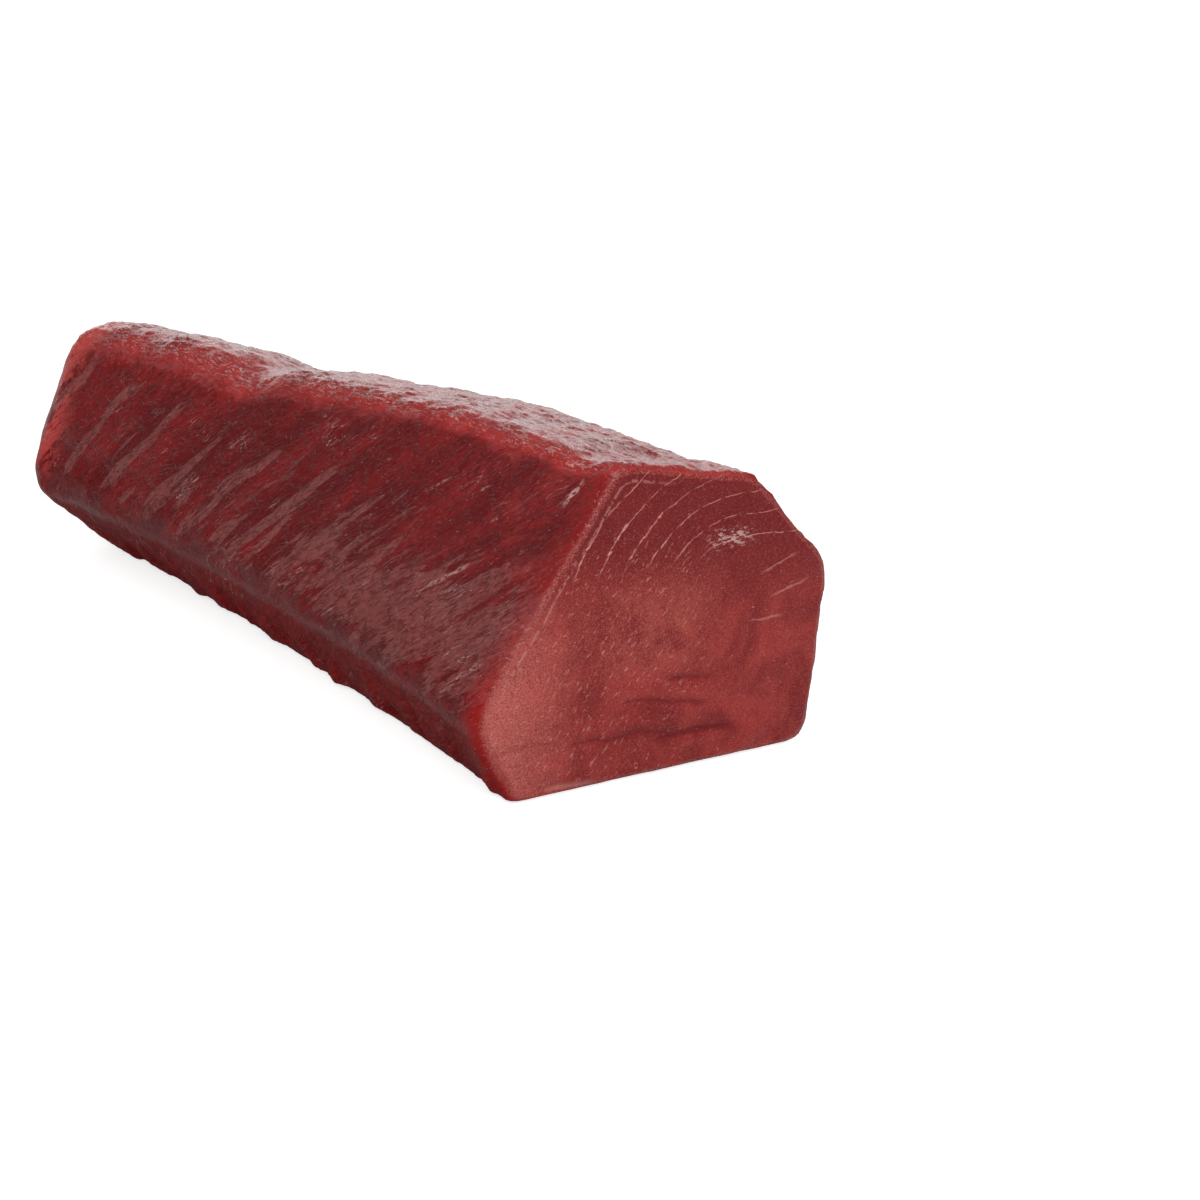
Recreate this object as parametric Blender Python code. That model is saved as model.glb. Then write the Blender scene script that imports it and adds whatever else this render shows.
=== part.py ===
# A trimmed tuna loin, skinned and boned, cut across at its thick head end and again near the tail.
# It is one solid piece of fish. X runs along it from the tail end to the head end. The side at -Y was
# cut off the backbone, the side at +Y lay under the skin, and the loin rests on z = 0. All sizes are in
# metres.

import math

import bmesh
import bpy
from mathutils import Vector, noise

LENGTH = 0.272

# Corners of the cross-section, in order from the foot of the backbone side, over the ridge, to the foot
# of the skin side. Each gives its place (y, z) and its radius at the tail end and at the head end, how
# far it stands off the straight line between them at mid length, and into how many steps its arc and the
# edge after it are divided.
CORNERS = (
    dict(tail=(0.020, 0.000, 0.003), head=(0.001, 0.000, 0.005), swell=(0.004, 0.000), arc=3, edge=3),
    dict(tail=(-0.013, 0.032, 0.014), head=(-0.014, 0.031, 0.014), swell=(0.007, 0.005), arc=4, edge=10),
    dict(tail=(0.010, 0.093, 0.018), head=(0.026, 0.106, 0.007), swell=(0.001, 0.000), arc=4, edge=4),
    dict(tail=(0.038, 0.080, 0.022), head=(0.070, 0.096, 0.012), swell=(0.004, 0.001), arc=5, edge=4),
    dict(tail=(0.074, 0.047, 0.028), head=(0.099, 0.061, 0.022), swell=(0.004, 0.002), arc=5, edge=4),
    dict(tail=(0.070, 0.000, 0.006), head=(0.097, 0.000, 0.006), swell=(0.004, 0.000), arc=3, edge=7),
)

# The knife cuts. A skew turns the cut about Z, so that its skin side reaches further out, and a lean tips
# its top towards +X. The rim is the radius of the cut's edge, and the dome is how far its middle stands out.
HEAD_CUT = dict(skew=math.tan(math.radians(15)), lean=0.10, rim=0.0035, dome=0.0010)
TAIL_CUT = dict(skew=math.tan(math.radians(4)), lean=0.08, rim=0.0090, dome=0.0030)
STATION_GAP = 0.0052
RIM_STEPS = 4
CAP_RINGS = (0.84, 0.66, 0.46, 0.24)

# The muscle blocks show on the backbone side as slanting bands, one for each vertebra. One of them is at
# BAND_START along X at the height BAND_MIDDLE. The two shares are what is left of the bands' height on the
# skin side and near the head cut.
BAND_PITCH = 0.0263
BAND_START = 0.003
BAND_MIDDLE = 0.060
BAND_HEIGHT = 0.00035
BAND_LEAN_TAIL = math.tan(math.radians(38))
BAND_LEAN_HEAD = math.tan(math.radians(49))
BAND_STRAY = 0.12
STRAY_SIZE = 0.040
SKIN_SIDE_SHARE = 0.45
HEAD_SHARE = 0.45

# The trimmed lower edges are scalloped up to a height of SCALLOP_TOP. Each scallop is a pitch and a depth.
SCALLOPS = ((0.0263, 0.0009), (0.0125, 0.0006))
SCALLOP_TOP = 0.026

# The whole surface is a little lumpy, less so on the two cuts, and it flattens out just above the
# resting face.
LUMP_SIZE = 0.022
LUMP_HEIGHT = 0.0008
LUMP_ROUGHNESS = 0.8
LUMP_OCTAVES = 2
CUT_LUMPS = 0.35
RESTING_BAND = 0.006

# Broad rises and dips along the top: place along X, half width and height.
TOP_WAVES = ((-0.037, 0.015, -0.0042), (0.060, 0.034, 0.0028), (0.120, 0.007, -0.0022))

FLESH = (0.26, 0.030, 0.028, 1.0)
FLESH_ROUGHNESS = 0.32


def mix(a, b, t):
    return a + (b - a) * t


def smooth_step(low, high, value):
    t = min(1.0, max(0.0, (value - low) / (high - low)))
    return t * t * (3.0 - 2.0 * t)


def corner_at(corner, t):
    # t is 0 at the tail cut and 1 at the head cut.
    bow = 4.0 * t * (1.0 - t)
    y = mix(corner["tail"][0], corner["head"][0], t) + corner["swell"][0] * bow
    z = mix(corner["tail"][1], corner["head"][1], t) + corner["swell"][1] * bow
    return Vector((y, z)), mix(corner["tail"][2], corner["head"][2], t)


def corner_arc(before, corner, after, radius, steps):
    # An arc of this radius that touches both edges of the corner.
    to_before = (before - corner).normalized()
    to_after = (after - corner).normalized()
    half_angle = to_before.angle(to_after) / 2.0
    reach = radius / math.tan(half_angle)
    centre = corner + (to_before + to_after).normalized() * radius / math.sin(half_angle)
    start = corner + to_before * reach - centre
    end = corner + to_after * reach - centre
    turn = start.angle(end)
    return [
        centre + (start * math.sin(turn * (1.0 - s)) + end * math.sin(turn * s)) / math.sin(turn)
        for s in (i / steps for i in range(steps + 1))
    ]


def outline(t):
    # The cross-section as a closed list of (y, z) points, the same number at every station.
    placed = [corner_at(corner, t) for corner in CORNERS]
    count = len(CORNERS)
    arcs = []
    for i, (corner, radius) in enumerate(placed):
        before, after = placed[i - 1][0], placed[(i + 1) % count][0]
        arcs.append(corner_arc(before, corner, after, radius, CORNERS[i]["arc"]))
    points = []
    for i, arc in enumerate(arcs):
        points += arc
        leaves, meets = arc[-1], arcs[(i + 1) % count][0]
        steps = CORNERS[i]["edge"]
        points += [leaves.lerp(meets, j / steps) for j in range(1, steps)]
    return points


def centre_of(points):
    return sum(points, Vector((0.0, 0.0))) / len(points)


def cut_offset(cut, point, centre):
    # How far a point of a cut stands out from a plane square to X.
    return cut["skew"] * (point.x - centre.x) + cut["lean"] * (point.y - centre.y)


def ring(t, shrink=1.0, inset=0.0, push=0.0):
    # One ring of 3-D points. shrink and inset pull it towards the section's centre, and push moves it
    # along X.
    points = outline(t)
    centre = centre_of(points)
    placed = []
    for point in points:
        arm = point - centre
        point = centre + arm * shrink * (1.0 - inset / arm.length)
        tail_x = -LENGTH / 2.0 + cut_offset(TAIL_CUT, point, centre)
        head_x = LENGTH / 2.0 + cut_offset(HEAD_CUT, point, centre)
        placed.append(Vector((mix(tail_x, head_x, t) + push, point.x, point.y)))
    return placed


def end_rings(cut, t, outward):
    # The rounded rim of a cut, then rings that close in on its middle.
    rings = []
    for i in range(RIM_STEPS + 1):
        angle = math.pi / 2.0 * i / RIM_STEPS
        inset = cut["rim"] * (1.0 - math.cos(angle))
        back = cut["rim"] * (1.0 - math.sin(angle))
        rings.append(ring(t, inset=inset, push=-outward * back))
    for shrink in CAP_RINGS:
        dome = cut["dome"] * (1.0 - shrink**2)
        rings.append(ring(t, shrink=shrink, inset=cut["rim"], push=outward * dome))
    return rings


def all_rings():
    clear = max(HEAD_CUT["rim"], TAIL_CUT["rim"]) + STATION_GAP
    stations = round((LENGTH - 2.0 * clear) / STATION_GAP)
    first, last = clear / LENGTH, 1.0 - clear / LENGTH
    tail = end_rings(TAIL_CUT, 0.0, -1.0)
    head = end_rings(HEAD_CUT, 1.0, 1.0)
    middle = [ring(mix(first, last, i / stations)) for i in range(stations + 1)]
    return tail[::-1] + middle + head


def close_end(mesh, loop):
    # A fan of triangles from the middle of the last ring.
    middle = mesh.verts.new(sum((v.co for v in loop), Vector()) / len(loop))
    for i, vertex in enumerate(loop):
        mesh.faces.new((vertex, loop[(i + 1) % len(loop)], middle))


def skin_over(rings):
    mesh = bmesh.new()
    loops = [[mesh.verts.new(point) for point in points] for points in rings]
    for here, there in zip(loops, loops[1:]):
        for i in range(len(here)):
            j = (i + 1) % len(here)
            mesh.faces.new((here[i], here[j], there[j], there[i]))
    close_end(mesh, loops[0])
    close_end(mesh, loops[-1])
    bmesh.ops.recalc_face_normals(mesh, faces=mesh.faces)
    return mesh


def band_relief(point, normal):
    # Rounded muscle blocks with a narrow dip between them, strongest on the flat backbone side.
    along = (point.x + LENGTH / 2.0) / LENGTH
    lean = mix(BAND_LEAN_TAIL, BAND_LEAN_HEAD, smooth_step(0.0, 0.6, along))
    phase = (point.x - BAND_START - lean * (point.z - BAND_MIDDLE)) / BAND_PITCH
    phase += BAND_STRAY * noise.noise(point / STRAY_SIZE)
    rounded = 1.0 - 2.0 * abs(math.sin(math.pi * phase)) ** 3.0
    side = smooth_step(0.15, 0.75, -normal.y) + SKIN_SIDE_SHARE * smooth_step(0.2, 0.8, normal.y)
    fade = mix(1.0, HEAD_SHARE, smooth_step(0.55, 0.95, along))
    return BAND_HEIGHT * rounded * side * fade


def scallop_relief(point, normal):
    # Soft scallops along the lower edges, where the trimming knife left ribs of flesh.
    low = 1.0 - smooth_step(0.4 * SCALLOP_TOP, SCALLOP_TOP, point.z)
    side = smooth_step(0.2, 0.7, abs(normal.y))
    stray = noise.noise(point / STRAY_SIZE)
    wave = sum(depth * math.sin(2.0 * math.pi * (point.x / pitch + stray)) for pitch, depth in SCALLOPS)
    return wave * low * side


def top_relief(point, normal):
    top = smooth_step(0.3, 0.9, normal.z)
    rise = 0.0
    for place, half_width, height in TOP_WAVES:
        rise += height * math.exp(-(((point.x - place) / half_width) ** 2))
    return top * rise


def lump_relief(point):
    return LUMP_HEIGHT * noise.fractal(point / LUMP_SIZE, LUMP_ROUGHNESS, 2.0, LUMP_OCTAVES)


def add_relief(mesh):
    mesh.normal_update()
    moves = []
    for vertex in mesh.verts:
        normal = vertex.normal
        free = smooth_step(0.0, RESTING_BAND, vertex.co.z)
        side = 1.0 - smooth_step(0.6, 0.95, abs(normal.x))
        height = side * (band_relief(vertex.co, normal) + scallop_relief(vertex.co, normal))
        height += top_relief(vertex.co, normal) + mix(CUT_LUMPS, 1.0, side) * lump_relief(vertex.co)
        moves.append(normal * height * free)
    for vertex, move in zip(mesh.verts, moves):
        vertex.co += move


def centre_over_origin(mesh):
    xs = [vertex.co.x for vertex in mesh.verts]
    ys = [vertex.co.y for vertex in mesh.verts]
    middle = Vector(((min(xs) + max(xs)) / 2.0, (min(ys) + max(ys)) / 2.0, 0.0))
    bmesh.ops.translate(mesh, verts=mesh.verts, vec=-middle)


def flesh_material():
    material = bpy.data.materials.new("tuna_flesh")
    material.use_nodes = True
    shader = material.node_tree.nodes["Principled BSDF"]
    shader.inputs["Base Color"].default_value = FLESH
    shader.inputs["Roughness"].default_value = FLESH_ROUGHNESS
    shader.inputs["Metallic"].default_value = 0.0
    return material


def make_loin():
    mesh = skin_over(all_rings())
    add_relief(mesh)
    centre_over_origin(mesh)
    data = bpy.data.meshes.new("tuna_loin")
    mesh.to_mesh(data)
    mesh.free()
    data.materials.append(flesh_material())
    data.shade_smooth()
    data.set_sharp_from_angle(angle=math.radians(50))
    loin = bpy.data.objects.new("tuna_loin", data)
    bpy.context.scene.collection.objects.link(loin)
    return loin


for old in list(bpy.data.objects):
    bpy.data.objects.remove(old)
make_loin()
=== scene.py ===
import math
from functools import partial

import bpy
import numpy as np
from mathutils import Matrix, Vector, kdtree, noise


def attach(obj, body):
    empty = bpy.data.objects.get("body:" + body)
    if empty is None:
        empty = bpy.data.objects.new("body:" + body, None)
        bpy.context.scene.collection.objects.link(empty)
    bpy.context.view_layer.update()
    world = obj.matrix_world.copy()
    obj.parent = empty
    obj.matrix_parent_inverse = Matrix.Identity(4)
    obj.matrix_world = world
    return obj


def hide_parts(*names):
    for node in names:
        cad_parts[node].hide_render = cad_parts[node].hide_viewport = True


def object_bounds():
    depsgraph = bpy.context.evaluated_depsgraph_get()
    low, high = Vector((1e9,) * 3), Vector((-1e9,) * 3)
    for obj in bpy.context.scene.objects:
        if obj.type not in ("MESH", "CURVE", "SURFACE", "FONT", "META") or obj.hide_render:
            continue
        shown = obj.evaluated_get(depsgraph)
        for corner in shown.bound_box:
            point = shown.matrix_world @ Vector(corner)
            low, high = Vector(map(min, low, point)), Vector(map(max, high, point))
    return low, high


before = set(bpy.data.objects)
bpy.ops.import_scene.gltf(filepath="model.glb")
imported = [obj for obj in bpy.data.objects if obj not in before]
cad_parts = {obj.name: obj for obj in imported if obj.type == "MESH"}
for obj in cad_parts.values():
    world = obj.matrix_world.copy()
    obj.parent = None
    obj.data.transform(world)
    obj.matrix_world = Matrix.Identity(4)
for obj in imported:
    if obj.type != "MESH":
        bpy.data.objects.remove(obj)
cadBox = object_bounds()


# Small helpers for values, selections and modifiers

def blendValue(a, b, t):
    return a + (b - a) * t


def fade(low, high, value):  # 0 below low, 1 above high
    t = min(1.0, max(0.0, (value - low) / (high - low)))
    return t * t * (3.0 - 2.0 * t)


def hump(value, middle, halfWidth):
    return math.exp(-(((value - middle) / halfWidth) ** 2))


def makeActive(thing):
    for other in list(bpy.context.selected_objects):
        other.select_set(False)
    thing.select_set(True)
    bpy.context.view_layer.objects.active = thing


def applyModifier(thing, kind, **settings):
    makeActive(thing)
    modifier = thing.modifiers.new(kind.title(), kind)
    for key, value in settings.items():
        setattr(modifier, key, value)
    bpy.ops.object.modifier_apply(modifier=modifier.name)


# The loin. X runs from the tail end to the head end, and -Y is the side that was cut off the backbone.
loin = {
    "mergeDistance": 0.00001,
    "voxel": 0.00118,  # mesh spacing
    "smoothing": 8,
    "ridgeSmoothing": 90,
    "edgeSmoothing": 5,
    "edgeNormals": (0.45, 0.75),  # how far normals on the edge of a cut turn towards X
    "cutNormal": 0.6,  # past this a point is on the cut, below it outside
    "bandPitch": 0.0263,  # one muscle band for each vertebra
    "bandStart": -0.0019,
    "bandMiddle": 0.060,
    "leanTail": math.tan(math.radians(38)),
    "leanHead": math.tan(math.radians(49)),
    "bendHeight": 0.048,  # on the skin side the bands turn back below this height
    "ringMiddle": (0.022, 0.060),  # the rings on a cut close in on this point (y, z)
    "ringGap": 0.0070,
    "ringStart": 0.0020,
    "skinSquash": 0.35,  # the rings are wider towards the skin side
    "heelPlace": 0.036,  # height of the turn from the backbone side to the bevel under it
    "lipInset": 0.0012,  # from the edge of a cut to the middle of its raised lip
    "lipWidth": 0.0022,
    # heights of the relief
    "fibreHeight": 0.00020,
    "stepHeight": 0.00014,
    "wrinkleHeight": 0.00105,
    "lumpHeight": 0.00020,
    "knobHeight": 0.0012,
    "lipHeight": 0.00040,
    "toothHeight": 0.0011,
    "crumbHeight": 0.00045,
    "cutHeight": 0.00035,
    "cutGrainHeight": 0.00009,
    "tearHeight": 0.0012,
    "crackPaintDepth": 0.0008,  # cracks this deep get their painted shade in full
    # cracks on the head cut: (y, z) at both ends, half width and depth
    "cracks": (
        ((0.002, 0.0335), (0.020, 0.0305), 0.0008, 0.0007),
        ((-0.012, 0.0290), (0.021, 0.0215), 0.0009, 0.0008),
        ((-0.030, 0.0172), (0.012, 0.0150), 0.0009, 0.0007),
        ((0.000, 0.0135), (0.030, 0.0120), 0.0010, 0.0010),
        ((-0.053, 0.0200), (-0.030, 0.0195), 0.0007, 0.0004),
    ),
}


def bandAcross(point, normal):  # distance across the slanting bands
    along = (point.x - cadBox[0].x) / (cadBox[1].x - cadBox[0].x)
    lean = blendValue(loin["leanTail"], loin["leanHead"], fade(0.0, 0.6, along))
    bend = loin["bendHeight"]
    height = blendValue(point.z, abs(point.z - bend) + bend, fade(-0.1, 0.4, normal.y))
    return point.x - loin["bandStart"] - lean * (height - loin["bandMiddle"])


def ringOut(point):  # distance out from the middle of the rings on a cut
    y, z = point.y - loin["ringMiddle"][0], point.z - loin["ringMiddle"][1]
    return math.hypot(y * (loin["skinSquash"] if y > 0 else 1.0), z)


def lineDistance(point, start, end):
    start, end, spot = Vector(start), Vector(end), Vector((point.y, point.z))
    t = min(1.0, max(0.0, (spot - start).dot(end - start) / (end - start).length_squared))
    return (spot - start.lerp(end, t)).length, t


def crackDepth(point):
    spot = point + Vector((0.0, 0.0, 0.0014 * noise.noise(point * 120.0)))
    deepest = 0.0
    for start, end, halfWidth, depth in loin["cracks"]:
        distance, t = lineDistance(spot, start, end)
        taper = fade(0.0, 0.15, t) * (1.0 - fade(0.8, 1.0, t))
        deepest = max(deepest, depth * hump(distance, 0.0, halfWidth) * taper)
    return deepest


def sideRelief(point, across, masks):
    stretched = Vector((across * 260.0, point.z * 45.0, point.y * 45.0))
    height = loin["fibreHeight"] * noise.noise(stretched) * masks["side"]
    phase = across / loin["bandPitch"] + 0.14 * noise.noise(point * 45.0)
    turn = phase - math.floor(phase)
    step = fade(0.0, 0.05, turn) * (1.0 - fade(0.10, 0.60, turn))
    height += loin["stepHeight"] * step * masks["flat"]
    height += loin["lumpHeight"] * noise.noise(point * 150.0)
    height += loin["knobHeight"] * noise.noise(point * 85.0) * masks["ridge"] * (1.0 - masks["top"])
    wrinkle = Vector((point.x * 120.0 + point.y * 60.0, point.y * 270.0 - point.x * 60.0, point.z * 200.0))
    height += loin["wrinkleHeight"] * (noise.turbulence(wrinkle, 3, True) - 0.5) * masks["ridge"]
    heelLine = loin["heelPlace"] + 0.006 * noise.noise(Vector((point.x * 30.0, 0.0, 0.0)))
    teeth = hump(point.z, heelLine, 0.004) * noise.noise(Vector((across * 110.0, 3.0, 0.0)))
    height += loin["toothHeight"] * teeth * masks["spineSide"]
    foot = hump(point.z, 0.005, 0.007) * fade(0.0008, 0.003, point.z)
    footTeeth = 2.0 * noise.noise(Vector((point.x * 95.0, 9.0, point.y * 20.0)))  # wide ones, then narrow ones
    footTeeth += noise.noise(Vector((point.x * 260.0, 5.0, point.y * 20.0)))
    height += loin["toothHeight"] * foot * footTeeth
    crumbs = noise.turbulence(Vector((across * 210.0, point.z * 120.0, 4.0)), 2, True)
    height += loin["crumbHeight"] * crumbs * masks["spineSide"] * (1.0 - fade(0.022, 0.036, point.z))
    return height


def cutRelief(point, masks):
    height = loin["cutHeight"] * noise.noise(point * 60.0) + loin["cutGrainHeight"] * noise.noise(point * 420.0)
    height += loin["tearHeight"] * noise.noise(point * 130.0) * hump(point.z, 0.003, 0.006)
    return height - crackDepth(point) * masks["head"]


def soften(mesh, values, passes):  # averages each vertex's value with its neighbours' values
    pairs = np.empty(2 * len(mesh.edges), dtype=np.int32)
    mesh.edges.foreach_get("vertices", pairs)
    ends = np.concatenate((pairs[0::2], pairs[1::2]))
    others = np.concatenate((pairs[1::2], pairs[0::2]))
    values = np.array(values)
    counts = 1 + np.bincount(ends, minlength=len(values))
    for _ in range(passes):
        values = (values + np.bincount(ends, weights=values[others], minlength=len(values))) / counts
    return values.tolist()


def masksOf(point, normal, edge):
    head = fade(0.80, 0.93, normal.x) * fade(0.09, 0.11, point.x)
    tail = fade(0.70, 0.93, -normal.x) * fade(0.10, 0.12, -point.x)
    cut = max(head, tail)
    spineSide = (1.0 - cut) * fade(0.2, 0.7, -normal.y)
    return {
        "head": head,
        "cut": cut,
        "side": 1.0 - cut,
        "top": (1.0 - cut) * fade(0.55, 0.92, normal.z) * fade(0.05, 0.07, point.z),
        "ridge": (1.0 - cut) * fade(0.42, 0.75, normal.z) * fade(0.05, 0.075, point.z),
        "spineSide": spineSide,
        "flat": spineSide * fade(0.030, 0.042, point.z),
        "edge": edge,  # distance from the edge of a cut, below zero outside it
        "crackShade": head * crackDepth(point) / loin["crackPaintDepth"],
    }


def addAttribute(mesh, name, values):
    kind = "FLOAT_VECTOR" if len(values) == 3 * len(mesh.vertices) else "FLOAT"
    layer = mesh.attributes.new(name, kind, "POINT")
    layer.data.foreach_set("vector" if kind == "FLOAT_VECTOR" else "value", values)


def roundRidge(piece):  # a softer turn from the backbone side to the top
    group = piece.vertex_groups.new(name="ridgeTurn")
    for vertex in piece.data.vertices:
        point, normal = vertex.co, vertex.normal
        turn = hump(normal.z, 0.62, 0.30) * fade(0.055, 0.070, point.z) * fade(-0.5, -0.1, -normal.y)
        turn *= (1.0 - fade(0.080, 0.105, point.x)) * fade(-0.140, -0.125, point.x)
        if turn > 0.02:
            group.add([vertex.index], turn, "REPLACE")
    applyModifier(piece, "SMOOTH", factor=0.5, iterations=loin["ridgeSmoothing"], vertex_group="ridgeTurn")
    piece.vertex_groups.remove(piece.vertex_groups["ridgeTurn"])


def makeLoin():
    piece = bpy.data.objects.new("loinFlesh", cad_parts["tuna_loin"].data.copy())
    bpy.context.scene.collection.objects.link(piece)
    makeActive(piece)
    bpy.ops.object.mode_set(mode="EDIT")
    bpy.ops.mesh.select_all(action="SELECT")
    bpy.ops.mesh.remove_doubles(threshold=loin["mergeDistance"])
    bpy.ops.object.mode_set(mode="OBJECT")
    applyModifier(piece, "REMESH", mode="VOXEL", voxel_size=loin["voxel"])
    applyModifier(piece, "SMOOTH", factor=0.5, iterations=loin["smoothing"])
    roundRidge(piece)

    mesh = piece.data
    points = [v.co.copy() for v in mesh.vertices]
    normals = [v.normal.copy() for v in mesh.vertices]
    low, high = loin["edgeNormals"]
    edgePoints = [p for p, n in zip(points, normals) if low < abs(n.x) < high and abs(p.x) > 0.10]
    edgeTree = kdtree.KDTree(len(edgePoints))
    for i, point in enumerate(edgePoints):
        edgeTree.insert(point, i)
    edgeTree.balance()
    signs = [1.0 if abs(n.x) > loin["cutNormal"] else -1.0 for n in normals]
    edges = [edgeTree.find(p)[2] * sign for p, sign in zip(points, signs)]
    edges = soften(mesh, edges, loin["edgeSmoothing"])
    masks = [masksOf(p, n, e) for p, n, e in zip(points, normals, edges)]
    acrosses = [bandAcross(p, n) for p, n in zip(points, normals)]

    for vertex, point, normal, mask, across in zip(mesh.vertices, points, normals, masks, acrosses):
        height = mask["side"] * sideRelief(point, across, mask) + mask["cut"] * cutRelief(point, mask)
        height += loin["lipHeight"] * hump(mask["edge"], loin["lipInset"], loin["lipWidth"])
        moved = point + normal * height * fade(0.0, 0.002, point.z)
        for axis in range(3):
            moved[axis] = min(cadBox[1][axis], max(cadBox[0][axis], moved[axis]))
        vertex.co = moved

    fibre = [value for point, across in zip(points, acrosses) for value in (across, point.z, point.y)]
    addAttribute(mesh, "fibre", fibre)
    addAttribute(mesh, "ring", [(ringOut(point) - loin["ringStart"]) / loin["ringGap"] for point in points])
    for name in ("cut", "top", "ridge", "spineSide", "edge", "crackShade"):
        addAttribute(mesh, name, [mask[name] for mask in masks])
    mesh.shade_smooth()
    print("loin mesh:", len(mesh.polygons), "faces")
    return piece


# Helpers for material nodes

def addNode(tree, kind, settings=None, **inputs):  # i0, i1 and so on are inputs by number
    made = tree.nodes.new(kind)
    for key, value in (settings or {}).items():
        setattr(made, key, value)
    for key, value in inputs.items():
        socket = made.inputs[int(key[1:])] if key[0] == "i" and key[1:].isdigit() else made.inputs[key]
        if isinstance(value, bpy.types.NodeSocket):
            tree.links.new(value, socket)
        else:
            socket.default_value = value
    return made


def calc(tree, operation, a, b=0.0, clamp=False):
    made = addNode(tree, "ShaderNodeMath", {"operation": operation, "use_clamp": clamp}, i0=a, i1=b)
    return made.outputs[0]


def smooth(tree, value, low, high):  # 0 below low, 1 above high
    settings = {"interpolation_type": "SMOOTHSTEP"}
    return addNode(tree, "ShaderNodeMapRange", settings, i0=value, i1=low, i2=high, i3=0.0, i4=1.0).outputs[0]


def attribute(tree, name):
    return addNode(tree, "ShaderNodeAttribute", {"attribute_name": name})


def speckle(tree, vector, stretch, scale, detail, roughness=0.55, warp=0.0):
    mapped = addNode(tree, "ShaderNodeMapping", None, Vector=vector, Scale=stretch)
    made = addNode(tree, "ShaderNodeTexNoise", None, Vector=mapped.outputs[0], Scale=scale, Detail=detail)
    made.inputs["Roughness"].default_value = roughness
    made.inputs["Distortion"].default_value = warp
    return made.outputs["Fac"]


def tint(tree, factor, below, above):
    made = addNode(tree, "ShaderNodeMix", {"data_type": "RGBA", "clamp_factor": True})
    for index, value in ((0, factor), (6, below), (7, above)):
        if isinstance(value, bpy.types.NodeSocket):
            tree.links.new(value, made.inputs[index])
        elif index == 0:
            made.inputs[index].default_value = value
        else:
            made.inputs[index].default_value = (*value, 1.0)
    return made.outputs[2]


def ridges(tree, phase, halfWidth, softness):  # 1 on whole numbers of phase, 0 between them
    wave = calc(tree, "PINGPONG", phase, 0.5)
    return calc(tree, "SUBTRACT", 1.0, smooth(tree, wave, halfWidth, halfWidth + softness))


# The wet flesh
flesh = {
    "deepRed": (0.165, 0.0025, 0.0038),
    "midRed": (0.225, 0.0070, 0.0080),
    "ridgeRed": (0.430, 0.0260, 0.0240),
    "brightRed": (0.345, 0.0110, 0.0100),
    "bevelRed": (0.300, 0.0150, 0.0120),
    "glowRed": (0.640, 0.0700, 0.0600),
    "darkRed": (0.100, 0.0012, 0.0026),
    "mauve": (0.245, 0.0640, 0.0590),
    "pink": (0.560, 0.2600, 0.2400),
    "cutRose": (0.345, 0.0360, 0.0310),
    "cutDeep": (0.138, 0.0025, 0.0045),
    "cutPale": (0.580, 0.1500, 0.1250),
    "cutTan": (0.420, 0.0900, 0.0640),
    "line": (0.620, 0.2600, 0.2300),
    "glint": (0.700, 0.4600, 0.4300),
    # sinews, and glints painted along thin wrinkles, on the backbone side: (x, z) at both ends, half width and
    # strength
    "sinewsAndGlints": (
        ((0.1165, 0.0905), (0.1220, 0.1000), 0.0010, 0.70),
        ((0.0700, 0.0540), (0.0920, 0.0700), 0.0006, 0.50),
        ((0.0815, 0.0860), (0.0870, 0.0895), 0.0005, 0.40),
        ((0.0600, 0.0800), (0.0700, 0.0880), 0.0005, 0.35),
    ),
    # faint lines near the skin side of a cut: (y, z) at both ends and half width
    "grooves": (
        ((0.030, 0.0620), (0.044, 0.0675), 0.0005),
        ((0.034, 0.0540), (0.049, 0.0580), 0.0005),
        ((0.028, 0.0470), (0.041, 0.0470), 0.0005),
    ),
    "heartPlace": (-0.004, 0.054),  # the tan middle of a cut (y, z)
    "gleamPlace": (0.0205, 0.0765),  # the wet gleam on a cut (y, z)
    "dashLean": math.radians(-55.0),
    "seamStrength": 0.19,
    "rimLineInset": 0.0038,
    "bumpStrength": 0.75,
    "bumpDepth": 0.0004,
    "ior": 1.20,
    "roughness": (0.45, 0.62),
    "coatRoughness": 0.17,
    "coatIor": 1.38,
}


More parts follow.
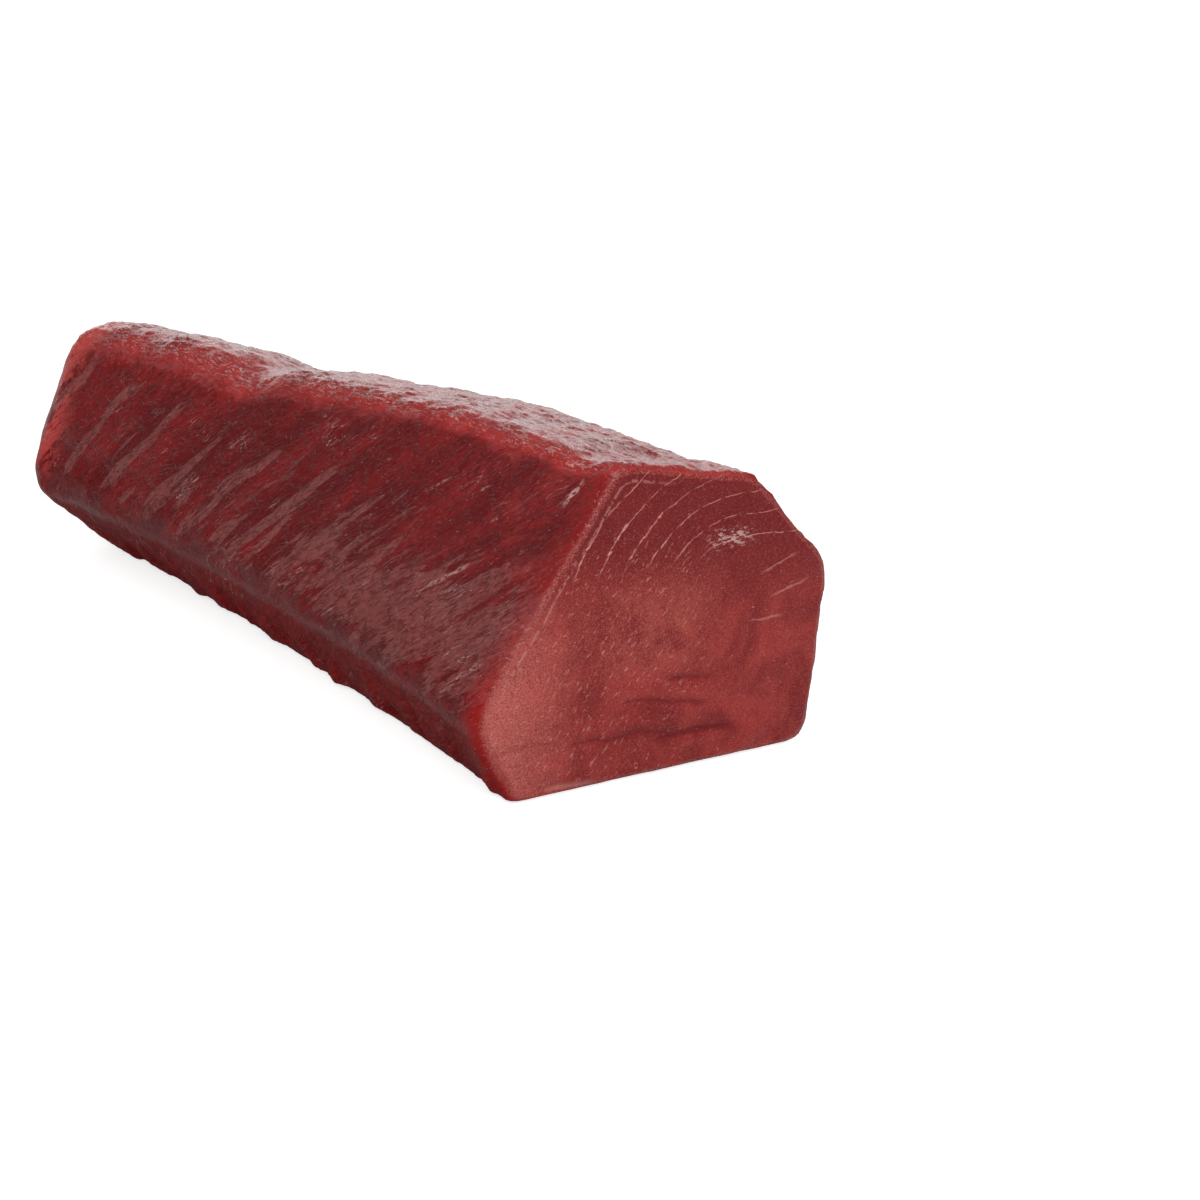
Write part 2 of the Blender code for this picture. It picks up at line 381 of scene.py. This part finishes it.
def fleshMaterial():
    material = bpy.data.materials.new("wetTunaFlesh")
    material.use_nodes = True
    tree = material.node_tree
    shader = tree.nodes["Principled BSDF"]
    place = addNode(tree, "ShaderNodeTexCoord").outputs["Object"]
    fibre = attribute(tree, "fibre").outputs["Vector"]
    names = ("cut", "top", "ridge", "spineSide", "edge", "crackShade", "ring")
    cut, top, ridge, spineSide, edge, crackShade, ring = (attribute(tree, name).outputs["Fac"] for name in names)
    across = addNode(tree, "ShaderNodeSeparateXYZ", None, Vector=fibre).outputs[0]
    x, y, z = addNode(tree, "ShaderNodeSeparateXYZ", None, Vector=place).outputs
    rise, noiseOn, paint = partial(smooth, tree), partial(speckle, tree), partial(tint, tree)

    def times(*values):
        product = values[0]
        for value in values[1:]:
            product = calc(tree, "MULTIPLY", product, value)
        return product

    def plus(*values):
        total = values[0]
        for value in values[1:]:
            total = calc(tree, "ADD", total, value)
        return total

    def less(a, b):
        return calc(tree, "SUBTRACT", a, b)

    def fall(value, low, high):
        return less(1.0, smooth(tree, value, low, high))

    def limit(value, low, high):
        return calc(tree, "MINIMUM", calc(tree, "MAXIMUM", value, low), high)

    def near(value, middle, inside, outside):  # 1 within one distance of the middle, 0 past the other
        return fall(calc(tree, "ABSOLUTE", less(value, middle)), inside, outside)

    def lines(pattern, gap, width):  # thin wavy lines along the contours of a pattern
        return fall(calc(tree, "PINGPONG", pattern, gap), width * 0.4, width)

    def stroke(u, v, start, end, halfWidth):  # a mark between two points, in the coordinates u and v
        runU, runV = end[0] - start[0], end[1] - start[1]
        length = math.hypot(runU, runV)
        offU, offV = less(u, start[0]), less(v, start[1])
        along = plus(times(offU, runU / length), times(offV, runV / length))
        aside = less(times(offU, runV / length), times(offV, runU / length))
        aside = calc(tree, "ABSOLUTE", plus(aside, times(less(mottle, 0.5), 0.0030)))
        ends = times(rise(along, 0.0, length * 0.3), fall(along, length * 0.7, length))
        return times(fall(aside, halfWidth * 0.5, halfWidth), ends)

    def net(vector, stretch, scale, width):  # fine creases round small cells
        bend = addNode(tree, "ShaderNodeTexNoise", None, Vector=vector, Scale=scale * 0.6, Detail=1.0)
        moved = addNode(
            tree, "ShaderNodeVectorMath", {"operation": "MULTIPLY_ADD"},
            i0=bend.outputs["Color"], i1=(0.004, 0.008, 0.008), i2=vector,
        )
        mapped = addNode(tree, "ShaderNodeMapping", None, Vector=moved.outputs[0], Scale=stretch)
        settings = {"feature": "DISTANCE_TO_EDGE"}
        cells = addNode(tree, "ShaderNodeTexVoronoi", settings, Vector=mapped.outputs[0], Scale=scale)
        return fall(cells.outputs["Distance"], 0.0, width)

    # backbone side, skin side and bevel: red flesh, a painted mauve sheen (a reflection) in patches, pale seams
    # between bands that are partly real septa and partly painted sheen, and painted shade in fine creases
    blotch = noiseOn(fibre, (1.0, 0.35, 0.35), 70.0, 4.0)
    mottle = noiseOn(fibre, (1.0, 0.50, 0.50), 560.0, 4.0, 0.70, 0.3)
    grit = noiseOn(fibre, (1.0, 0.40, 0.40), 1500.0, 2.0, 0.6)
    patch = noiseOn(fibre, (1.0, 0.30, 0.30), 150.0, 7.0, 0.70, 0.5)
    side = paint(times(fall(blotch, 0.36, 0.50), 0.55), flesh["deepRed"], flesh["darkRed"])
    side = paint(rise(blotch, 0.46, 0.62), side, flesh["midRed"])
    stray = times(less(noiseOn(place, (1, 1, 1), 45.0, 1.0), 0.5), 0.28)
    seamPhase = calc(tree, "FRACT", plus(times(across, 1.0 / loin["bandPitch"]), stray, 0.10))
    seamSheen = times(rise(seamPhase, 0.0, 0.05), fall(seamPhase, 0.20, 0.22))
    seamArea = times(rise(z, 0.036, 0.050), fall(z, 0.072, 0.084), fall(x, 0.030, 0.080))
    seamSheen = times(seamSheen, seamArea, flesh["seamStrength"])
    lowEdge = plus(0.062, times(x, 0.12))  # the painted sheen covers more below this line
    low = limit(times(less(lowEdge, z), 1.0 / 0.024), -1.0, 1.0)
    low = times(low, rise(x, -0.130, -0.060), plus(0.12, times(rise(x, -0.030, 0.050), 0.09)))
    sheenPatches = rise(plus(patch, low, seamSheen, times(fall(z, 0.026, 0.046), -0.22), -0.025), 0.540, 0.575)
    sheenPatches = times(sheenPatches, spineSide, rise(z, 0.004, 0.012))
    bevel = times(spineSide, fall(z, 0.022, 0.036))
    spineTurn = fall(y, 0.020, 0.034)
    heel = times(spineSide, rise(z, 0.026, 0.034), fall(z, 0.040, 0.054))
    creases = net(fibre, (1.0, 0.42, 0.42), 430.0, 0.20)
    creases = times(creases, rise(noiseOn(place, (1.0, 1.0, 1.0), 260.0, 1.0, 0.6), 0.40, 0.58))
    # painted sheen: mauve reflection in the patches, and in faint specks outside them
    side = paint(times(sheenPatches, plus(0.66, times(rise(mottle, 0.40, 0.56), 0.24))), side, flesh["mauve"])
    side = paint(times(rise(mottle, 0.56, 0.63), less(1.0, sheenPatches), 0.11), side, flesh["mauve"])
    side = paint(times(fall(mottle, 0.38, 0.46), 0.40), side, flesh["darkRed"])
    side = paint(times(bevel, 0.45), side, flesh["bevelRed"])
    # painted shade darkening the fine creases
    side = paint(times(creases, 0.62), side, flesh["darkRed"])
    # painted glints: short pale hairlines on the backbone side
    hairlineGlints = lines(noiseOn(fibre, (1.0, 0.25, 0.25), 300.0, 3.0, 0.6, 0.8), 0.20, 0.010)
    hairlineGlints = times(hairlineGlints, rise(noiseOn(place, (1.0, 1.0, 1.0), 75.0, 0.0), 0.56, 0.66), spineSide)
    side = paint(times(hairlineGlints, 0.42), side, flesh["glint"])
    # painted glints: tiny pink specks, more of them on the painted sheen
    side = paint(times(rise(grit, 0.58, 0.68), plus(0.07, times(sheenPatches, 0.12))), side, flesh["pink"])
    side = paint(times(fall(grit, 0.34, 0.44), 0.30), side, flesh["darkRed"])
    # pale sinews, partly real and partly painted glints along thin wrinkles
    for start, end, halfWidth, strength in flesh["sinewsAndGlints"]:
        mark = times(stroke(x, z, start, end, halfWidth), spineSide, rise(grit, 0.44, 0.54), strength)
        side = paint(mark, side, flesh["glint"])

    # ridge: brighter red, partly the flesh's own colour and partly painted light on the upward-facing ridge,
    # wrinkled, with a painted pale sheen and painted highlight threads, and bright red just under it near the
    # tail
    wrinkleSheen = noiseOn(place, (0.30, 1.0, 1.0), 300.0, 4.0, 0.62, 1.2)
    wisp = noiseOn(place, (0.30, 1.0, 1.0), 850.0, 3.0, 0.60)
    highlightThreads = times(lines(wrinkleSheen, 0.07, 0.022), rise(wisp, 0.42, 0.52))
    underRidge = times(spineSide, rise(z, 0.070, 0.086), fall(x, -0.060, -0.020), rise(mottle, 0.40, 0.60))
    side = paint(times(underRidge, 0.60), side, flesh["brightRed"])
    ridgeRed = paint(plus(0.35, times(rise(blotch, 0.36, 0.54), 0.65)), flesh["midRed"], flesh["ridgeRed"])
    # painted mauve sheen on the wrinkles
    ridgeRed = paint(times(rise(wrinkleSheen, 0.52, 0.56), 0.30), ridgeRed, flesh["mauve"])
    ridgeRed = paint(times(fall(wisp, 0.40, 0.48), 0.45), ridgeRed, flesh["midRed"])
    # painted highlight threads, strongest where the ridge faces up
    ridgeRed = paint(times(highlightThreads, plus(0.12, times(top, 0.68))), ridgeRed, flesh["glint"])
    side = paint(times(ridge, 0.85), side, ridgeRed)
    turn = times(calc(tree, "MAXIMUM", less(ridge, top), 0.0), spineTurn)
    side = paint(times(turn, rise(mottle, 0.42, 0.56), 0.50), side, flesh["brightRed"])

    # the two cuts
    cloud = noiseOn(place, (1.0, 1.0, 0.8), 60.0, 6.0, 0.68, 0.5)
    grain = noiseOn(place, (1.0, 1.0, 1.0), 1700.0, 2.0, 0.6)
    fine = noiseOn(place, (1.0, 1.0, 1.0), 2600.0, 1.0, 0.5)
    cutFlesh = paint(plus(0.30, times(rise(cloud, 0.34, 0.64), 0.70)), flesh["cutDeep"], flesh["cutRose"])
    heartY, heartZ = flesh["heartPlace"]
    heart = times(near(y, heartY, 0.006, 0.030), near(z, heartZ, 0.006, 0.024))
    cutFlesh = paint(times(heart, rise(cloud, 0.30, 0.60), 0.40), cutFlesh, flesh["cutTan"])
    # painted pink highlight on the lower corner of the cut near the heel
    heelGlow = times(fall(y, -0.050, -0.018), fall(z, 0.040, 0.080))
    cutFlesh = paint(times(heelGlow, 0.45), cutFlesh, flesh["cutPale"])
    upper = plus(z, times(less(cloud, 0.5), 0.040), times(y, 0.15))
    cutFlesh = paint(times(rise(upper, 0.052, 0.082), 0.80), cutFlesh, flesh["cutDeep"])
    # painted glints: fine pale dots and specks, thickest near the heel corner
    grainy = plus(0.14, times(heelGlow, 0.26), times(heart, 0.12))
    glintDots = rise(plus(grain, times(heelGlow, 0.04)), 0.55, 0.61)
    cutFlesh = paint(times(glintDots, grainy), cutFlesh, flesh["cutPale"])
    cutFlesh = paint(times(fall(grain, 0.38, 0.46), 0.42), cutFlesh, flesh["cutDeep"])
    cutFlesh = paint(times(rise(fine, 0.62, 0.68), grainy), cutFlesh, flesh["line"])
    lean = (flesh["dashLean"], 0.0, 0.0)
    slant = addNode(tree, "ShaderNodeMapping", None, Vector=place, Rotation=lean).outputs[0]
    # painted glints: short pale dashes at a slant
    glintDashes = noiseOn(slant, (1.0, 0.22, 1.0), 1100.0, 4.0, 0.66)
    glintDashes = times(rise(glintDashes, 0.60, 0.66), fall(y, 0.000, 0.030), fall(z, 0.075, 0.090))
    cutFlesh = paint(times(glintDashes, 0.50), cutFlesh, flesh["line"])
    ringStray = times(less(noiseOn(place, (1, 1, 1), 120.0, 3.0, 0.6), 0.5), 0.34)
    ringPhase = plus(ring, ringStray)
    thinGaps = rise(noiseOn(place, (1, 1, 1), 240.0, 2.0, 0.65), 0.40, 0.54)
    thickGaps = rise(noiseOn(slant, (1, 0.24, 1), 1500.0, 1.0), 0.52, 0.57)
    thin = times(ridges(tree, ringPhase, 0.004, 0.026), thinGaps)
    # the thick bright pieces of the rings are painted glints; the thin rings are the flesh's own pale lines
    thick = times(ridges(tree, ringPhase, 0.020, 0.060), thickGaps)
    thick = times(thick, fall(y, 0.000, 0.012), rise(z, 0.068, 0.074), fall(z, 0.086, 0.096))
    ringArea = times(rise(plus(z, times(rise(y, 0.010, 0.030), 0.010)), 0.069, 0.078), rise(ring, 1.3, 2.0))
    rings = times(calc(tree, "MAXIMUM", times(thin, 0.78), thick), ringArea)
    cutFlesh = paint(rings, cutFlesh, flesh["line"])
    rimGaps = rise(noiseOn(place, (1, 1, 1), 500.0, 1.0, 0.6), 0.42, 0.54)
    rimLine = times(near(edge, flesh["rimLineInset"], 0.0002, 0.0006), rimGaps, fall(y, -0.010, 0.004))
    cutFlesh = paint(times(rimLine, rise(z, 0.030, 0.045), 0.38), cutFlesh, flesh["line"])
    for start, end, halfWidth in flesh["grooves"]:
        cutFlesh = paint(times(stroke(y, z, start, end, halfWidth), 0.40), cutFlesh, flesh["line"])
    gleamY, gleamZ = flesh["gleamPlace"]
    gleamArea = times(near(y, gleamY, 0.003, 0.010), near(z, gleamZ, 0.001, 0.005))
    shred = noiseOn(place, (1.0, 0.55, 1.3), 900.0, 2.0, 0.62)
    gleam = times(rise(plus(shred, times(gleamArea, 0.12)), 0.61, 0.65), gleamArea, 0.6)
    cutFlesh = paint(gleam, cutFlesh, flesh["glint"])
    # painted shade in the cracks
    cutFlesh = paint(times(crackShade, 0.72), cutFlesh, flesh["cutDeep"])
    lowLip = times(fall(z, 0.0020, 0.0050), near(y, -0.0245, 0.004, 0.009), 0.55)
    cutFlesh = paint(lowLip, cutFlesh, flesh["line"])
    colour = paint(cut, side, cutFlesh)

    # painted glow of light through the thin flesh along the outside of each cut's edge, brightest at the tail,
    # and a pale line on the edge
    band = times(rise(edge, -0.0095, -0.0010), fall(edge, 0.0004, 0.0016), rise(blotch, 0.15, 0.50))
    colour = paint(times(band, plus(0.36, times(fall(z, 0.030, 0.085), 0.22))), colour, flesh["brightRed"])
    tailGlow = times(rise(edge, -0.0170, -0.0030), fall(edge, 0.0005, 0.0050), fall(x, -0.110, -0.090))
    tailGlow = times(tailGlow, rise(plus(mottle, blotch), 0.84, 1.04))
    colour = paint(times(tailGlow, rise(z, 0.025, 0.050), 0.85), colour, flesh["glowRed"])
    lip = times(near(edge, loin["lipInset"], 0.0003, 0.0011), rise(fine, 0.44, 0.56))
    colour = paint(times(lip, 0.42), colour, flesh["cutPale"])

    # small wet glints
    spark = noiseOn(fibre, (1.0, 0.45, 0.45), 1300.0, 3.0, 0.75)
    spark = rise(plus(spark, times(cut, heelGlow, 0.03)), 0.66, 0.71)
    colour = paint(times(spark, 0.45), colour, flesh["glint"])
    tree.links.new(colour, shader.inputs["Base Color"])

    low, high = flesh["roughness"]
    gloss = addNode(tree, "ShaderNodeMapRange", None, i0=blotch, i1=0.35, i2=0.65, i3=low, i4=high)
    tree.links.new(plus(gloss.outputs[0], times(bevel, 0.35)), shader.inputs["Roughness"])
    skinFoot = times(fall(spineSide, 0.0, 0.5), fall(cut, 0.0, 0.5), fall(z, 0.012, 0.040))
    dry = plus(times(bevel, 0.9), times(heel, 0.75), times(turn, 0.45), times(skinFoot, 0.6))
    dry = plus(dry, times(cut, 0.5), times(top, 0.15))  # places with less of the wet coat
    tree.links.new(calc(tree, "SUBTRACT", 1.0, dry, clamp=True), shader.inputs["Coat Weight"])
    relief = plus(times(mottle, 1.2), times(grit, 0.35), times(sheenPatches, 0.30), times(creases, -0.70))
    relief = paint(cut, relief, plus(times(grain, 0.5), times(fine, 0.2)))
    relief = paint(ridge, relief, plus(times(wrinkleSheen, 1.3), times(wisp, 1.1), times(highlightThreads, top, 0.50)))
    strength, depth = flesh["bumpStrength"], flesh["bumpDepth"]
    bump = addNode(tree, "ShaderNodeBump", None, Strength=strength, Distance=depth, Height=relief)
    tree.links.new(bump.outputs[0], shader.inputs["Normal"])
    tree.links.new(bump.outputs[0], shader.inputs["Coat Normal"])
    shader.inputs["Coat Roughness"].default_value = flesh["coatRoughness"]
    shader.inputs["Coat IOR"].default_value = flesh["coatIor"]
    shader.inputs["IOR"].default_value = flesh["ior"]
    return material


loinFlesh = makeLoin()
loinFlesh.data.materials.clear()
loinFlesh.data.materials.append(fleshMaterial())
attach(loinFlesh, "root")
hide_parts("tuna_loin")
print("flesh done")


# Floor, light and camera
studio = {
    "floorSize": 8.0,
    "floorColour": (0.60, 0.60, 0.60, 1.0),
    "floorRoughness": 0.9,
    "floorGlow": (0.72, 0.72, 0.72, 1.0),  # keeps the floor pale in the picture without lighting the flesh
    "glossyGlow": 0.08,  # share of the glow that reflections see
    "backdrop": (1.0, 1.0, 1.0, 1.0),
    "ambient": (0.055, 0.055, 0.056, 1.0),
    "cameraPlace": (0.64120, -0.46519, 0.36045),
    "cameraPitch": 23.534,
    "cameraAzimuth": 49.093,
    "lens": 78.0,
    "sensorWidth": 36.0,
    "lightTarget": (0.0, 0.0, 0.05),
    # soft boxes: place, width, height, power in watts
    "softBoxes": (
        ("ceilingPanel", (0.0, 0.0, 3.0), 7.0, 7.0, 82.0),
        ("backCard", (-1.50, 1.20, 0.36), 2.6, 0.7, 11.5),
        ("sideSoftBox", (-1.20, -1.00, 0.85), 1.2, 0.5, 1.5),
        ("frontSoftBox", (1.30, -0.75, 1.00), 1.2, 1.2, 25.0),
    ),
}


def makeFloor():
    bpy.ops.mesh.primitive_plane_add(size=studio["floorSize"], location=(0.0, 0.0, 0.0))
    floor = bpy.context.active_object
    floor.name = "floor"
    material = bpy.data.materials.new("paleFloor")
    material.use_nodes = True
    tree = material.node_tree
    shader = tree.nodes["Principled BSDF"]
    shader.inputs["Base Color"].default_value = studio["floorColour"]
    shader.inputs["Roughness"].default_value = studio["floorRoughness"]
    shader.inputs["Emission Color"].default_value = studio["floorGlow"]
    seen = addNode(tree, "ShaderNodeLightPath").outputs
    reflected = calc(tree, "MULTIPLY", seen["Is Glossy Ray"], studio["glossyGlow"])
    glow = calc(tree, "ADD", seen["Is Camera Ray"], reflected)
    tree.links.new(glow, shader.inputs["Emission Strength"])
    floor.data.materials.append(material)


def makeLights():
    for name, place, width, height, power in studio["softBoxes"]:
        lamp = bpy.data.lights.new(name, "AREA")
        lamp.shape = "RECTANGLE"
        lamp.size, lamp.size_y = width, height
        lamp.energy = power
        box = bpy.data.objects.new(name, lamp)
        box.location = place
        aim = Vector(studio["lightTarget"]) - Vector(place)
        box.rotation_euler = aim.to_track_quat("-Z", "Y").to_euler()
        box.visible_camera = False
        bpy.context.scene.collection.objects.link(box)
    world = bpy.data.worlds.new("studioRoom")
    bpy.context.scene.world = world
    world.use_nodes = True
    tree = world.node_tree
    tree.nodes.clear()
    seen = addNode(tree, "ShaderNodeLightPath").outputs["Is Camera Ray"]
    room = addNode(tree, "ShaderNodeBackground", None, Color=studio["ambient"])
    sheet = addNode(tree, "ShaderNodeBackground", None, Color=studio["backdrop"])
    both = addNode(tree, "ShaderNodeMixShader", None, i0=seen, i1=room.outputs[0], i2=sheet.outputs[0])
    addNode(tree, "ShaderNodeOutputWorld", None, Surface=both.outputs[0])


def makeCamera():
    data = bpy.data.cameras.new("camera")
    data.lens = studio["lens"]
    data.sensor_width = studio["sensorWidth"]
    camera = bpy.data.objects.new("camera", data)
    camera.location = studio["cameraPlace"]
    tilt, turn = math.radians(90.0 - studio["cameraPitch"]), math.radians(studio["cameraAzimuth"])
    camera.rotation_euler = (tilt, 0.0, turn)
    bpy.context.scene.collection.objects.link(camera)
    bpy.context.scene.camera = camera


makeFloor()
makeLights()
makeCamera()
bpy.context.scene.view_settings.view_transform = "Standard"
print("studio done")
